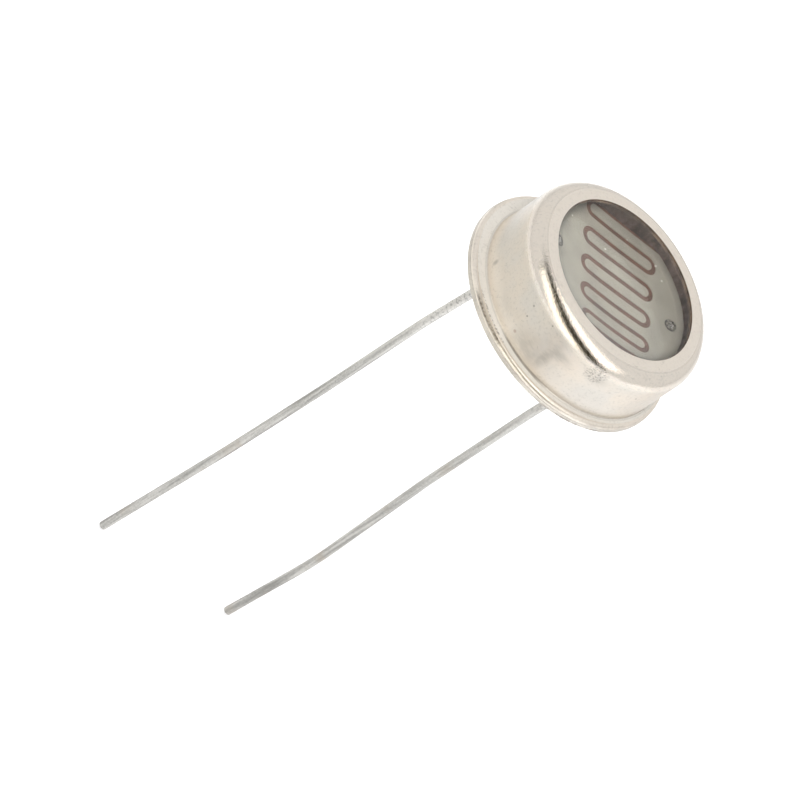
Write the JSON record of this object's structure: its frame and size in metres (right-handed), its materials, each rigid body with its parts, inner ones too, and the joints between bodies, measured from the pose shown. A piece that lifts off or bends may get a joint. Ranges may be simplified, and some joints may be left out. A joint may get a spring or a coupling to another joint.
{
  "type": "photoresistor",
  "caption": "Light-dependent resistor in a round flanged metal can, with a winding track on a ceramic cell behind a fused glass window and long wire leads.",
  "frame": {"origin": "centre of the seating plane, the underside of the header's flange", "axes": "+Z out of the window along the header's axis, with the leads towards -Z; +X from the left lead to the right lead; +Y across the runs of the track, towards the first run"},
  "size_m": [0.015, 0.015, 0.0408],
  "materials": {
    "can": "satin nickel plate, warm",
    "window": "clear fused glass",
    "header": "dull nickel plate",
    "bead": "dark sealing glass",
    "substrate": "matt fired ceramic",
    "photo_layer": "matt sintered film",
    "electrode": "satin evaporated metal",
    "contact": "grainy conductive bond",
    "lead": "dull tinned wire"
  },
  "bodies": {
    "root": {"can": "can", "window": "window", "header": "header", "glass_bead_left": "bead", "glass_bead_right": "bead", "substrate": "substrate", "photo_layer": "photo_layer", "electrode_left": "electrode", "electrode_right": "electrode", "contact_left": "contact", "contact_right": "contact", "lead_left": "lead", "lead_right": "lead"}
  },
  "joints": []
}
